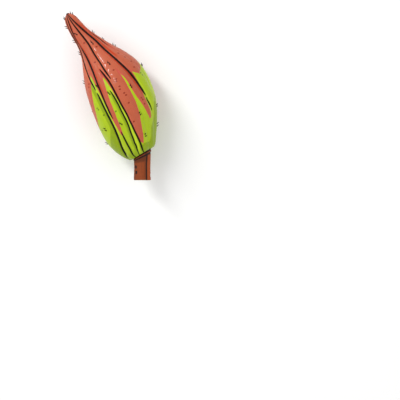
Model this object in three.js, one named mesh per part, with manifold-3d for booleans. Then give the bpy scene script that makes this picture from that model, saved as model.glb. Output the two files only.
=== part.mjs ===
// A fat, ribbed okra pod, red on its beak and ribs and green between them, as picked with a stub of stalk.
// It lies on its belly. Millimetres, +Z up, the origin in the middle of the small flat spot it rests on,
// +X from the tip of the beak towards the stalk. Two pieces: the capsule with its bristles, and the stalk.
import * as THREE from "three";
import { mergeVertices } from "three/addons/utils/BufferGeometryUtils.js";
import Module from "manifold-3d";

// Sizes of the capsule
const POD_LENGTH = 119.5;
const BELLY_RADIUS = 25.1;
const REST_STATION = 75; // the pod balances here
const REST_DEPTH = 0.7; // how far the flat spot is pressed into the belly
const DIMPLE_STATION = 118.3; // the flat of the dimple that the stalk sits in
const DIMPLE_RADIUS = 8.5;
const FOOT_LEAN = 0.05; // how far the foot leans back for each millimetre to the side
const FOOT_LEAN_FROM = 95;

// Outline of the capsule: station from the tip, and radius
const PROFILE = [
  [0, 0],
  [0.4, 1.5],
  [1.7, 3],
  [4.6, 4.7],
  [11, 6],
  [22, 7.9],
  [34, 12],
  [45, 17.8],
  [57, 22.8],
  [70, 24.9],
  [83, BELLY_RADIUS],
  [95, 23.3],
  [106, 19.3],
  [113.5, 15.1],
  [118, 12],
  [POD_LENGTH, 9.9],
];
// From the crest of the foot down into the dimple
const DIMPLE_PROFILE = [
  [POD_LENGTH - 0.1, 9.2],
  [POD_LENGTH - 0.6, DIMPLE_RADIUS + 0.1],
  [DIMPLE_STATION, DIMPLE_RADIUS],
  [DIMPLE_STATION, 0],
];

// The middle line bows sideways, and the beak hangs a little
const BOW_STATIONS = [0, 15, 30, 45, 60, 75, 90, 105, POD_LENGTH];
const BOW_SIDEWAYS = [0, 1.1, 4.6, 6.8, 7, 5.8, 3.7, 0.7, 0];
const BOW_UPWARDS = [-2.6, -1.9, -1.1, -0.4, 0, 0, -0.2, -0.1, 0.4];

// The grooves between the ribs, one after another round the pod. Each has, at these stations, its angle
// from straight up towards +Y in degrees, and its depth. Close pairs stand for the pod's double grooves.
const GROOVE_STATIONS = [0, 20, 40, 60, 80, 100, 112, POD_LENGTH];
const GROOVES = [
  { angles: [-85, -95, -99, -92, -92, -98, -105, -114], depths: [0, 0.6, 1.1, 1.4, 1.5, 1.5, 1.5, 1.3] },
  { angles: [-45, -57, -62, -43, -36, -30.5, -50, -82], depths: [0, 0.7, 1.1, 1.5, 1.7, 1.8, 1.9, 1.6] },
  { angles: [-22, -42, -36, -32, -29, -21, -25, -36], depths: [0, 0.6, 1, 1.1, 1, 0.9, 1.3, 1.2] },
  { angles: [-16, -25, -28, -18, -9.5, -2.5, -5, -19], depths: [0, 0, 0, 0, 0.9, 1.4, 1.5, 1.2] },
  { angles: [-12, -14, -21, -9.5, -3, 5, 7.5, 3], depths: [0, 0, 0.2, 1.4, 1.7, 1.8, 1.7, 1.3] },
  { angles: [-8, -4, -12, -3, 4, 14, 18, 16], depths: [0, 0.8, 1.2, 0.8, 0, 0, 0, 0] },
  { angles: [-2, 12, 9, 16, 22, 32, 36, 38], depths: [0, 0, 0, 0.5, 0.8, 1.2, 1.3, 1.1] },
  { angles: [4, 29, 26, 31, 42, 62, 70, 76], depths: [0, 0.8, 1.3, 1.7, 1.8, 1.2, 1.2, 1.1] },
  { angles: [24, 60, 52, 64, 80, 94, 102, 108], depths: [0, 0.8, 0.4, 0.4, 1.4, 1.5, 1.5, 1.2] },
  { angles: [70, 95, 96, 104, 117, 128, 135, 140], depths: [0, 0.7, 1.1, 1.4, 1.5, 1.5, 1.5, 1.2] },
  { angles: [120, 134, 138, 147, 159, 167, 170, 170], depths: [0, 0.6, 1, 1.3, 1.4, 1.4, 1.4, 1.1] },
  { angles: [170, 178, 184, 193, 203, 207, 205, 200], depths: [0, 0.6, 1, 1.3, 1.4, 1.4, 1.4, 1.1] },
  { angles: [222, 222, 226, 231, 237, 236, 231, 224], depths: [0, 0.6, 1, 1.3, 1.4, 1.4, 1.4, 1.1] },
];
const GROOVE_REACH = 13; // degrees over which a groove rises most of the way to the crest
const COLUMN_WIDTH = 5.5; // degrees between the columns of the mesh, about
const COLUMN_CROWDING = 0.6; // how much the columns crowd towards the grooves
const STEPS_PER_SPAN = 3; // rows of the mesh between two points of the outline

// Bristles stand in pairs. On top and at the sides each pair has its place: station, and angle.
const BRISTLE_PLACES = [
  [1.5, 85], [2.5, -85], [9, -88], [17, -27], [21, -90], [22, 90], [29, 9], [31, -90], [38, 88], [49, 8], [52, -90],
  [60, -35], [61, 88], [65, 37], [69, -17], [72, 24], [91, -54], [93, 23], [93, -17], [93, 86], [100, -88],
  [106, 88], [109, 27],
];
const BELLY_PAIRS = 48; // as many would stand all over the pod, if the belly's ones went on round it
const BELLY_ANGLES = [105, 255];
const BRISTLE_LENGTH = 1.9;
const BRISTLE_RADIUS = 0.32;
const BRISTLE_ROOT = 0.7; // how deep it is sunk in the skin
const BRISTLE_GAP = 1.7; // between the two of a pair
const BRISTLE_LEAN = 0.7; // towards the beak, against how straight it stands
const BRISTLE_CLEARANCE = 1.2; // above the surface the pod lies on
const GOLDEN_ANGLE = 137.508;
const SEED = 20;

// Sizes of the stalk
const JOINT_GAP = 0.3;
const STALK_RADIUS = 6.1;
const COLLAR_RADIUS = 7.7;
const STALK_LENGTH = 21;
const STALK_BEND = 28.4; // degrees away from the pod's length, sideways
const STALK_BEND_OVER = 11; // the length over which its sections turn
const STALK_RISE = 2; // degrees
const STALK_RIBS = 5;
const STALK_RIB_HEIGHT = 0.25;
const STALK_COLUMNS = 40;
// Outline of the stalk: distance from the foot of the capsule, and radius
const STALK_PROFILE = [
  [0, 0],
  [0, COLLAR_RADIUS - 0.6],
  [0.5, COLLAR_RADIUS],
  [2.4, COLLAR_RADIUS],
  [3.1, COLLAR_RADIUS - 0.5],
  [4.2, STALK_RADIUS + 0.75],
  [6, STALK_RADIUS + 0.3],
  [8.5, STALK_RADIUS],
  [12, STALK_RADIUS - 0.1],
  [16, STALK_RADIUS],
  [STALK_LENGTH - 0.4, STALK_RADIUS + 0.2],
  [STALK_LENGTH, STALK_RADIUS - 0.2],
  [STALK_LENGTH, 0],
];

const wasm = await Module();
wasm.setup();

const { degToRad, euclideanModulo, lerp, smoothstep } = THREE.MathUtils;
const latheProfile = (points) => points.map(([station, radius]) => new THREE.Vector2(radius, station));
const outline = new THREE.SplineCurve(latheProfile(PROFILE));
const sideways = new THREE.CubicInterpolant(BOW_STATIONS, BOW_SIDEWAYS, 1);
const upwards = new THREE.CubicInterpolant(BOW_STATIONS, BOW_UPWARDS, 1);
const turns = GROOVES.map(({ angles }) => new THREE.CubicInterpolant(GROOVE_STATIONS, angles, 1));
const depths = GROOVES.map((groove) => new THREE.LinearInterpolant(GROOVE_STATIONS, groove.depths, 1));

// The middle line's place at a station
function middle(station) {
  return new THREE.Vector3(station, sideways.evaluate(station)[0], upwards.evaluate(station)[0]);
}

// The radius of the outline at a station, found by halving the spline
function radiusAt(station) {
  let low = 0;
  let high = 1;
  while (high - low > 1e-5) {
    const half = (low + high) / 2;
    if (outline.getPoint(half).y < station) low = half;
    else high = half;
  }
  return outline.getPoint(low).x;
}

// The rib after a groove, at a station: the angle it starts at, and its width, in degrees
function ribAt(groove, station) {
  const start = turns[groove].evaluate(station)[0];
  const end = turns[(groove + 1) % GROOVES.length].evaluate(station)[0];
  return { start, width: euclideanModulo(end - start, 360) };
}

// How far the skin is below the round outline: deepest in a groove, hardly at all on the crest of a rib
function hollow(angle, station) {
  for (let groove = 0; groove < GROOVES.length; groove += 1) {
    const { start, width } = ribAt(groove, station);
    const share = euclideanModulo(angle - start, 360) / width;
    if (share <= 1) {
      const steepness = 1 + width / GROOVE_REACH;
      const before = depths[groove].evaluate(station)[0] * (1 - share) ** steepness;
      return before + depths[(groove + 1) % GROOVES.length].evaluate(station)[0] * share ** steepness;
    }
  }
  return 0;
}

// A point of the skin. The grooves run out towards the dimple.
function skinPoint(angle, station, radius) {
  const intoDimple = station < FOOT_LEAN_FROM ? 1 : smoothstep(radius, DIMPLE_RADIUS, DIMPLE_RADIUS + 3);
  const reach = radius === 0 ? 0 : radius - hollow(angle, station) * intoDimple;
  const side = reach * Math.sin(degToRad(angle));
  const point = middle(station);
  point.x -= FOOT_LEAN * smoothstep(station, FOOT_LEAN_FROM, POD_LENGTH) * side;
  point.y += side;
  point.z += reach * Math.cos(degToRad(angle));
  return point;
}

// The columns of the capsule's mesh: each groove has one, and more stand across every rib
function ribColumns() {
  const columns = [];
  for (let groove = 0; groove < GROOVES.length; groove += 1) {
    const steps = Math.max(2, Math.round(ribAt(groove, REST_STATION).width / COLUMN_WIDTH));
    for (let step = 0; step < steps; step += 1) {
      const even = step / steps;
      const crowded = (1 - Math.cos(Math.PI * even)) / 2;
      columns.push({ groove, share: lerp(even, crowded, COLUMN_CROWDING) });
    }
  }
  return columns;
}

// Turns a profile into a lathe body and moves each of its points: place(column, radius, height) gives the
// new one. The columns count the other way round than the lathe's, as its upright axis is laid along X.
function shapedLathe(points, columns, place) {
  const lathe = new THREE.LatheGeometry(points, columns);
  const position = lathe.getAttribute("position");
  for (let i = 0; i < position.count; i += 1) {
    const column = (columns - Math.floor(i / points.length)) % columns;
    const { x: radius, y: height } = points[i % points.length];
    const point = place(column, radius, height);
    position.setXYZ(i, point.x, point.y, point.z);
  }
  return lathe;
}

// The capsule's body, from the tip of the beak to the dimple where the stalk sits
function capsuleBody() {
  const points = outline.getPoints(STEPS_PER_SPAN * (PROFILE.length - 1));
  points.push(...latheProfile(DIMPLE_PROFILE));
  const columns = ribColumns();
  return shapedLathe(points, columns.length, (column, radius, station) => {
    const { groove, share } = columns[column];
    const { start, width } = ribAt(groove, station);
    return skinPoint(start + share * width, station, radius);
  });
}

// A seeded source of numbers from 0 to 1
function seeded(seed) {
  let state = seed;
  return () => {
    state = (state * 1664525 + 1013904223) % 4294967296;
    return state / 4294967296;
  };
}

// One bristle: a three-sided cone that stands on the skin and leans towards the beak
function bristle(angle, station) {
  const foot = skinPoint(angle, station, radiusAt(station));
  const along = skinPoint(angle, station + 1, radiusAt(station + 1)).sub(foot).normalize();
  const across = skinPoint(angle + 3, station, radiusAt(station)).sub(foot);
  const direction = new THREE.Vector3().crossVectors(along, across).normalize();
  direction.addScaledVector(along, -BRISTLE_LEAN).normalize();
  const cone = new THREE.ConeGeometry(BRISTLE_RADIUS, BRISTLE_LENGTH + BRISTLE_ROOT, 3);
  const turn = new THREE.Quaternion().setFromUnitVectors(new THREE.Vector3(0, 1, 0), direction);
  const centre = foot.clone().addScaledVector(direction, (BRISTLE_LENGTH - BRISTLE_ROOT) / 2);
  cone.applyQuaternion(turn).translate(centre.x, centre.y, centre.z);
  return { cone, lowest: Math.min(foot.z, foot.z + direction.z * BRISTLE_LENGTH) };
}

// Places for pairs on the belly, spread by the area of the skin and the golden angle
function bellyPlaces() {
  const area = [0];
  for (let station = 1; station < BRISTLE_PLACES.at(-1)[0]; station += 1) {
    area.push(area.at(-1) + radiusAt(station) + 4);
  }
  const places = [];
  for (let pair = 0; pair < BELLY_PAIRS; pair += 1) {
    const below = ((pair + 0.5) / BELLY_PAIRS) * area.at(-1);
    const angle = (pair * GOLDEN_ANGLE) % 360;
    const onBelly = angle > BELLY_ANGLES[0] && angle < BELLY_ANGLES[1];
    if (onBelly) places.push([area.findIndex((sum) => sum > below), angle]);
  }
  return places;
}

// All the bristles, the two of each pair set apart at a slant, and none where the pod lies
function bristles(surface) {
  const draw = seeded(SEED);
  const cones = [];
  for (const [station, angle] of [...BRISTLE_PLACES, ...bellyPlaces()]) {
    const slant = (0.15 + 0.35 * draw()) * Math.PI;
    const across = ((BRISTLE_GAP * Math.cos(slant)) / radiusAt(station)) * THREE.MathUtils.RAD2DEG;
    const along = BRISTLE_GAP * Math.sin(slant);
    for (const side of [-0.5, 0.5]) {
      const { cone, lowest } = bristle(angle + side * across, Math.max(0.6, station + side * along));
      if (lowest > surface + BRISTLE_CLEARANCE) cones.push(cone);
    }
  }
  return cones;
}

// A closed geometry as a solid
function solidOf(geometry) {
  const bare = new THREE.BufferGeometry().setAttribute("position", geometry.getAttribute("position"));
  bare.setIndex(geometry.index);
  const merged = mergeVertices(bare, 1e-4);
  const vertProperties = merged.attributes.position.array;
  const triVerts = new Uint32Array(merged.index.array);
  return new wasm.Manifold(new wasm.Mesh({ numProp: 3, vertProperties, triVerts }));
}

// A solid as a geometry
function geometryOf(solid) {
  const mesh = solid.getMesh();
  const geometry = new THREE.BufferGeometry();
  geometry.setAttribute("position", new THREE.BufferAttribute(mesh.vertProperties, 3));
  geometry.setIndex(new THREE.BufferAttribute(mesh.triVerts, 1));
  geometry.computeVertexNormals();
  return geometry;
}

// The middle of the flat spot, in the coordinates that the shape is worked out in
function restingPoint() {
  const point = middle(REST_STATION);
  point.z -= radiusAt(REST_STATION) - REST_DEPTH;
  return point;
}

// The capsule: its body with the flat spot cut, and the bristles grown on it
function capsule() {
  const rest = restingPoint();
  const below = new THREE.BoxGeometry(2 * POD_LENGTH, 2 * POD_LENGTH, POD_LENGTH);
  below.translate(rest.x, rest.y, rest.z - POD_LENGTH / 2);
  const body = solidOf(capsuleBody()).subtract(solidOf(below));
  return geometryOf(wasm.Manifold.union([body, ...bristles(rest.z).map(solidOf)]));
}

// The stalk runs straight off to one side. Its foot lies along the dimple, and its sections turn from
// there to stand square across it.
function stalk() {
  const foot = middle(DIMPLE_STATION);
  const bend = degToRad(STALK_BEND);
  const heading = new THREE.Vector3(Math.cos(bend), -Math.sin(bend), Math.tan(degToRad(STALK_RISE)));
  const footTurn = Math.atan(FOOT_LEAN);
  return shapedLathe(latheProfile(STALK_PROFILE), STALK_COLUMNS, (column, radius, along) => {
    const angle = (column / STALK_COLUMNS) * 2 * Math.PI;
    const turn = lerp(footTurn, -bend, smoothstep(along, 0, STALK_BEND_OVER));
    const ribbed = smoothstep(along, 3, 8) * STALK_RIB_HEIGHT * Math.cos(STALK_RIBS * angle);
    const reach = radius === 0 ? 0 : radius + ribbed;
    const side = reach * Math.sin(angle);
    const point = foot.clone().addScaledVector(heading, along);
    point.x += JOINT_GAP - side * Math.sin(turn);
    point.y += side * Math.cos(turn);
    point.z += reach * Math.cos(angle);
    return point;
  });
}

function part(name, geometry, color, roughness) {
  const mesh = new THREE.Mesh(geometry, new THREE.MeshStandardMaterial({ color, roughness, metalness: 0 }));
  mesh.name = name;
  return mesh;
}

const pod = new THREE.Group();
pod.add(part("capsule", capsule(), 0xc4694f, 0.5));
pod.add(part("stalk", stalk(), 0x8e4722, 0.7));
pod.position.copy(restingPoint().negate());

export default pod;
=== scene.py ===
"""An okra pod, red on its beak and ribs and green between them, as picked with a stub of stalk.

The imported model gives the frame: metres, +Z up, the origin in the middle of the flat spot that the pod
rests on, +X from the tip of the beak towards the stalk. The skin and the stalk follow the outline, middle
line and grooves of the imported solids, with finer creases, bristles, down and colours.

Sizes here are in millimetres. A station is measured along the pod from its tip, and an angle is in degrees
round it, from straight up towards +Y.
"""
import logging
import math
import random
from bisect import bisect_right
from dataclasses import dataclass, field
from enum import Enum
from functools import cached_property
from typing import Any, Iterator, Mapping, Sequence, Union

import bmesh
import bpy
import numpy as np
from mathutils import Matrix, Vector, noise


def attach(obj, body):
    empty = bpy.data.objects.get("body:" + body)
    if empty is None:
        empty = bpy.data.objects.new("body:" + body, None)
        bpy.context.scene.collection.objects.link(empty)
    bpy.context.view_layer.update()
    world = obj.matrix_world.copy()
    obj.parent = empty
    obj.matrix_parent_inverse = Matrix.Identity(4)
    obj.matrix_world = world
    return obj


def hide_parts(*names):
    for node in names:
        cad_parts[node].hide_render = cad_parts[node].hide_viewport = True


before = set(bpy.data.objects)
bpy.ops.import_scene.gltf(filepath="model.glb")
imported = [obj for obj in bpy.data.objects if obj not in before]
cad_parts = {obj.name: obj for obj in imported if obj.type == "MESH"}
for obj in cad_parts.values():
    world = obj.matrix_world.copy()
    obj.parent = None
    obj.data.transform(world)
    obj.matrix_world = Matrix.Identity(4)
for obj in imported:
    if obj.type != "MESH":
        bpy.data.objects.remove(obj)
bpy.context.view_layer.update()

MM = 0.001
BODY = "root"
DRAW_FACTOR = 1664525
DRAW_STEP = 1013904223
DRAW_RANGE = 2**32
HIDDEN_GROOVES = range(9, 13)
log = logging.getLogger("okra_pod")


class Slot(Enum):
    """The record's material slots."""

    SKIN = "pod_skin"
    BARK = "stalk_bark"


class Tint(Enum):
    """What a stripe or an area of the skin is tinted with. The value names its layer on the mesh."""

    # Orange is painted shade and salmon painted highlight on the red; olive is painted shade and lime painted
    # highlight on the green; wax sets the gloss of the coat.
    ORANGE_PAINTED_SHADE = "orange_painted_shade"
    SALMON_PAINTED_HIGHLIGHT = "salmon_painted_highlight"
    OLIVE_PAINTED_SHADE = "olive_painted_shade"
    LIME_PAINTED_HIGHLIGHT = "lime_painted_highlight"
    WAX = "wax"


def srgb(red: int, green: int, blue: int) -> tuple[float, float, float, float]:
    """A colour for the shader, from screen values.

    Args:
        red: Red, 0 to 255.
        green: Green, 0 to 255.
        blue: Blue, 0 to 255.

    Returns:
        The same colour in linear light, with full alpha.
    """
    shares = (value / 255 for value in (red, green, blue))
    linear = (s / 12.92 if s <= 0.04045 else ((s + 0.055) / 1.055) ** 2.4 for s in shares)
    return (*linear, 1.0)


def smoothstep(value: Any, low: float, high: float) -> Any:
    """A smooth rise from 0 at one value to 1 at another, for a number or an array of them."""
    share = np.clip((value - low) / (high - low), 0.0, 1.0)
    return share * share * (3.0 - 2.0 * share)


def wrapped(angles: Any) -> Any:
    """Angles, or differences of them, brought between -180 and 180 degrees."""
    return (angles + 180.0) % 360.0 - 180.0


# Shapes


@dataclass(frozen=True)
class Curve:
    """A smooth curve through values at uneven stations.

    Its slope at a station is the mean of the slopes on either side. At its ends it is a share of the
    slope next to it.
    """

    stations: Sequence[float]
    values: Sequence[float]
    end_share: float = 0.0

    def slope(self, index: int) -> float:
        """The curve's slope where a value is given.

        Args:
            index: Which of the stations.

        Returns:
            The slope there.
        """
        last = len(self.stations) - 1
        around = [
            (self.values[i + 1] - self.values[i]) / (self.stations[i + 1] - self.stations[i])
            for i in (index - 1, index)
            if 0 <= i < last
        ]
        return sum(around) / 2 if len(around) == 2 else around[0] * self.end_share

    def at(self, station: float) -> float:
        """The curve's value.

        Args:
            station: Where along it.

        Returns:
            The value there.
        """
        i = min(max(bisect_right(self.stations, station) - 1, 0), len(self.stations) - 2)
        width = self.stations[i + 1] - self.stations[i]
        p = (station - self.stations[i]) / width
        rise = self.values[i + 1] - self.values[i]
        start, end = self.slope(i) * width, self.slope(i + 1) * width
        return (
            self.values[i]
            + rise * (3 - 2 * p) * p * p
            + start * p * (1 - p) * (1 - p)
            - end * p * p * (1 - p)
        )


@dataclass(frozen=True)
class Groove:
    """A groove along the pod: its angle and its depth at each of the groove stations.

    The crease that follows it strays from its bottom, by so many millimetres to the right at a station.
    """

    angles: tuple[float, ...]
    depths: tuple[float, ...]
    stray: tuple[tuple[float, float], ...] = ((0, 0), (120, 0))


@dataclass(frozen=True)
class Section:
    """The pod cut across at one station."""

    station: float
    radius: float
    centre: Vector
    grooves: np.ndarray
    depths: np.ndarray
    creases: np.ndarray
    reach: float

    @property
    def widths(self) -> np.ndarray:
        """The width of the rib after each groove, in degrees."""
        return (np.roll(self.grooves, -1) - self.grooves) % 360.0

    def between_creases(self, groove: np.ndarray, share: np.ndarray) -> np.ndarray:
        """Angles that lie a share of the way from the crease in a groove, by number, to the next one."""
        widths = (np.roll(self.creases, -1) - self.creases) % 360.0
        return self.creases[groove] + share * widths[groove]

    def ribs(self, angles: np.ndarray) -> tuple[np.ndarray, np.ndarray]:
        """Finds the ribs that angles fall on.

        Args:
            angles: The angles.

        Returns:
            The groove before each, by number, and how far across the rib it is, from 0 to 1.
        """
        shares = ((angles[:, None] - self.grooves) % 360.0) / self.widths
        rib = np.argmax(shares <= 1.0, axis=1)
        return rib, shares[np.arange(len(angles)), rib]

    def hollow(self, angles: np.ndarray) -> np.ndarray:
        """How far the skin is below the round outline.

        Args:
            angles: Where round the pod.

        Returns:
            The depth at each: most in a groove, hardly anything on the crest of a rib.
        """
        rib, share = self.ribs(angles)
        steepness = 1.0 + self.widths[rib] / self.reach
        after = np.roll(self.depths, -1)[rib]
        return self.depths[rib] * (1.0 - share) ** steepness + after * share**steepness

    def beside(self, groove: int, angles: np.ndarray) -> np.ndarray:
        """How far points are to the right of the crease in a groove, in millimetres over the skin."""
        return np.radians(wrapped(angles - self.creases[groove])) * self.radius


@dataclass(frozen=True)
class PodForm:
    """How the pod has grown: its outline, its bowed middle line and its grooves."""

    length: float = 119.5
    rest_station: float = 75.0
    rest_depth: float = 0.7
    dimple_station: float = 118.3
    dimple_radius: float = 8.5
    foot_lean: float = 0.05
    foot_lean_from: float = 95.0
    groove_reach: float = 13.0
    stray_radius: float = 8.0
    dimple_fade: float = 3.0
    outline_count: int = 1500
    profile: tuple[tuple[float, float], ...] = (
        (0, 0), (0.4, 1.5), (1.7, 3), (4.6, 4.7), (11, 6), (22, 7.9), (34, 12), (45, 17.8),
        (57, 22.8), (70, 24.9), (83, 25.1), (95, 23.3), (106, 19.3), (113.5, 15.1), (118, 12), (119.5, 9.9),
    )
    dimple_profile: tuple[tuple[float, float], ...] = (
        (119.4, 9.2), (118.9, 8.6), (118.3, 8.5), (118.3, 0),
    )
    sideways: Curve = Curve(
        (0, 15, 30, 45, 60, 75, 90, 105, 119.5), (0, 1.1, 4.6, 6.8, 7, 5.8, 3.7, 0.7, 0)
    )
    upwards: Curve = Curve(
        (0, 15, 30, 45, 60, 75, 90, 105, 119.5), (-2.6, -1.9, -1.1, -0.4, 0, 0, -0.2, -0.1, 0.4)
    )
    groove_stations: tuple[float, ...] = (0, 20, 40, 60, 80, 100, 112, 119.5)
    grooves: tuple[Groove, ...] = (
        Groove((-85, -95, -99, -92, -92, -98, -105, -114), (0, 0.6, 1.1, 1.4, 1.5, 1.5, 1.5, 1.3)),
        Groove((-45, -57, -62, -43, -36, -30.5, -50, -82), (0, 0.7, 1.1, 1.5, 1.7, 1.8, 1.9, 1.6),
               ((0, 0), (12, -1.5), (36, -1.8), (45, -0.3), (61, -0.7), (80, -0.5), (86, -1.2), (92, -2),
                (97, -2.2), (104, -1.6), (112, -1.2), (118, 0))),
        Groove((-22, -42, -36, -32, -29, -21, -25, -36), (0, 0.6, 1, 1.1, 1, 0.9, 1.3, 1.2),
               ((0, 0), (12, -0.8), (20, -1.8), (27, -2), (34, -1.6), (43, -0.8), (53, -0.3), (78, -0.5),
                (88, -1.3), (98, -0.7), (113, -0.7), (118, -0.5))),
        Groove((-16, -25, -28, -18, -9.5, -2.5, -5, -19), (0, 0, 0, 0, 0.9, 1.4, 1.5, 1.2),
               ((60, 0.3), (72, 0.6), (80, 0.3), (85, -0.3), (90, -0.6), (98, -0.6), (104, -0.8),
                (110, -0.9), (114, 0), (117, 0.9), (119, 0.6))),
        Groove((-12, -14, -21, -9.5, -3, 5, 7.5, 3), (0, 0, 0.2, 1.4, 1.7, 1.8, 1.7, 1.3),
               ((44, 0), (61, 0.1), (72, -0.3), (80, -0.6), (89, -0.6), (94, -0.9), (99, -0.5), (110, 0),
                (118, 0.6))),
        Groove((-8, -4, -12, -3, 4, 14, 18, 16), (0, 0.8, 1.2, 0.8, 0, 0, 0, 0),
               ((0, 0), (14, 0.6), (24, 0.1), (36, 0.1), (45, 0.6), (52, 0), (60, -0.3))),
        Groove((-2, 12, 9, 16, 22, 32, 36, 38), (0, 0, 0, 0.5, 0.8, 1.2, 1.3, 1.1)),
        Groove((4, 29, 26, 31, 42, 62, 70, 76), (0, 0.8, 1.3, 1.7, 1.8, 1.2, 1.2, 1.1),
               ((0, 0.2), (12, 0.9), (22, 0.5), (32, 0.6), (43, 0.4), (53, 0.9), (61, 1.6), (70, 1.9),
                (77, 1.9), (82, 1.8), (86, 0.7), (95, 0.2))),
        Groove((24, 60, 52, 64, 80, 94, 102, 108), (0, 0.8, 0.4, 0.4, 1.4, 1.5, 1.5, 1.2)),
        Groove((70, 95, 96, 104, 117, 128, 135, 140), (0, 0.7, 1.1, 1.4, 1.5, 1.5, 1.5, 1.2)),
        Groove((120, 134, 138, 147, 159, 167, 170, 170), (0, 0.6, 1, 1.3, 1.4, 1.4, 1.4, 1.1)),
        Groove((170, 178, 184, 193, 203, 207, 205, 200), (0, 0.6, 1, 1.3, 1.4, 1.4, 1.4, 1.1)),
        Groove((222, 222, 226, 231, 237, 236, 231, 224), (0, 0.6, 1, 1.3, 1.4, 1.4, 1.4, 1.1)),
    )

    def outline(self, share: float) -> tuple[float, float]:
        """A point of the outline.

        Args:
            share: How far along its given points, from 0 to 1.

        Returns:
            The station and the radius there.
        """
        places = range(len(self.profile))
        stations, radii = zip(*self.profile)
        place = share * (len(self.profile) - 1)
        return Curve(places, stations, 0.5).at(place), Curve(places, radii, 0.5).at(place)

    @cached_property
    def outline_points(self) -> np.ndarray:
        """Close points along the outline, one row of station and radius for each."""
        return np.array([self.outline(share) for share in np.linspace(0, 1, self.outline_count)])

    def radius_at(self, station: float) -> float:
        """The radius of the outline at a station."""
        return float(np.interp(station, *self.outline_points.T))

    def middle(self, station: float) -> Vector:
        """The place of the middle line at a station, before the pod is set on its flat spot."""
        return Vector((station, self.sideways.at(station), self.upwards.at(station)))

    @cached_property
    def resting_point(self) -> Vector:
        """The middle of the flat spot, before the pod is set on it.

        Returns:
            The point.
        """
        point = self.middle(self.rest_station)
        point.z -= self.radius_at(self.rest_station) - self.rest_depth
        return point

    def section(self, station: float, radius: float | None = None) -> Section:
        """Cuts the pod across.

        Args:
            station: Where along it.
            radius: The radius to take there, or the outline's.

        Returns:
            The section.
        """
        outline = self.radius_at(station)
        places = self.groove_stations
        angles = np.array([Curve(places, groove.angles).at(station) for groove in self.grooves])
        depths = np.array([np.interp(station, places, groove.depths) for groove in self.grooves])
        strays = np.array([np.interp(station, *zip(*groove.stray)) for groove in self.grooves])
        return Section(
            station=station,
            radius=outline if radius is None else radius,
            centre=self.middle(station) - self.resting_point,
            grooves=angles,
            depths=depths,
            creases=angles + np.degrees(strays / max(outline, self.stray_radius)),
            reach=self.groove_reach,
        )

    def fade_into_dimple(self, section: Section) -> float:
        """How much of the grooves is left: all of them along the pod, nothing in the dimple.

        Args:
            section: The section that they cross.

        Returns:
            A share from 0 to 1.
        """
        if section.station < self.foot_lean_from:
            return 1.0
        return float(smoothstep(section.radius, self.dimple_radius, self.dimple_radius + self.dimple_fade))

    def ring(self, section: Section, angles: np.ndarray, relief: Any = 0.0) -> np.ndarray:
        """Points of the skin at a section.

        Args:
            section: The section.
            angles: Where round it.
            relief: How far each stands out from the grown surface.

        Returns:
            One row of three coordinates for each angle.
        """
        hollow = section.hollow(angles) * self.fade_into_dimple(section)
        reach = np.maximum(section.radius - hollow + relief, 0.0) if section.radius > 0 else 0.0 * angles
        side = reach * np.sin(np.radians(angles))
        lean = self.foot_lean * float(smoothstep(section.station, self.foot_lean_from, self.length))
        x = section.centre.x - lean * side
        y = section.centre.y + side
        z = section.centre.z + reach * np.cos(np.radians(angles))
        return np.stack([x, y, np.maximum(z, 0.0)], axis=1)

    def point(self, angle: float, station: float) -> Vector:
        """A point of the skin, in millimetres from the flat spot's middle."""
        return Vector(self.ring(self.section(station), np.array([angle]))[0])

    def normal(self, angle: float, station: float) -> Vector:
        """Which way the skin faces at a point.

        Args:
            angle: Where round the pod.
            station: Where along it.

        Returns:
            The outward normal.
        """
        foot = self.point(angle, station)
        along = self.point(angle, station + 1) - foot
        across = self.point(angle + 3, station) - foot
        return along.cross(across).normalized()

    def path(self, rows: int) -> list[tuple[float, float]]:
        """The way over the skin from the tip to the middle of the dimple, in even steps.

        Args:
            rows: How many steps.

        Returns:
            The station and radius at each end of a step.
        """
        points = np.concatenate([self.outline_points, self.dimple_profile])
        travelled = np.concatenate([[0], np.cumsum(np.hypot(*np.diff(points, axis=0).T))])
        even = np.linspace(0, travelled[-1], rows + 1)
        return list(zip(np.interp(even, travelled, points[:, 0]), np.interp(even, travelled, points[:, 1])))


# Colour areas of the skin


@dataclass(frozen=True)
class Area:
    """An area of the skin between two edges that run along the pod.

    Each row of edges is a station, and the angles of the left and the right edge there. Before the first
    row the edges carry on as they are, and past the last one they draw in.
    """

    edges: tuple[tuple[float, float, float], ...]
    blunt: float = 0.5

    def inside(self, section: Section, angles: np.ndarray) -> np.ndarray:
        """How far points are inside the area, over the skin.

        Args:
            section: The section that they are on.
            angles: Where round it.

        Returns:
            The distance to the nearer edge in millimetres, below 0 outside.
        """
        stations, left, right = zip(*self.edges)
        station = min(max(section.station, stations[0]), stations[-1])
        start = Curve(stations, left, 1.0).at(station)
        width = Curve(stations, right, 1.0).at(station) - start
        off_centre = np.abs(wrapped(angles - start - width / 2))
        beyond = max(section.station - stations[-1], 0.0) * self.blunt
        return np.radians(width / 2 - off_centre) * section.radius - beyond


@dataclass(frozen=True)
class Crease:
    """A sharp crease along part of a groove, its dark line painted shade."""

    groove: int
    start: float
    end: float
    half_width: float = 0.5
    taper: float = 5.0
    beak_share: float = 0.45
    beak_end: float = 20.0

    def inside(self, section: Section, angles: np.ndarray) -> np.ndarray:
        """How far points are inside the crease's dark line of painted shade, over the skin.

        Args:
            section: The section that they are on.
            angles: Where round it.

        Returns:
            The distance to its edge in millimetres, below 0 outside.
        """
        room = min(section.station - self.start, self.end - section.station)
        ends = math.sqrt(min(max(room / self.taper, 0.0), 1.0))
        widened = float(smoothstep(section.station, 0, self.beak_end))
        share = self.beak_share + (1 - self.beak_share) * widened
        half = self.half_width * ends * share if room > 0 else -1.0
        return half - np.abs(section.beside(self.groove, angles))


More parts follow.
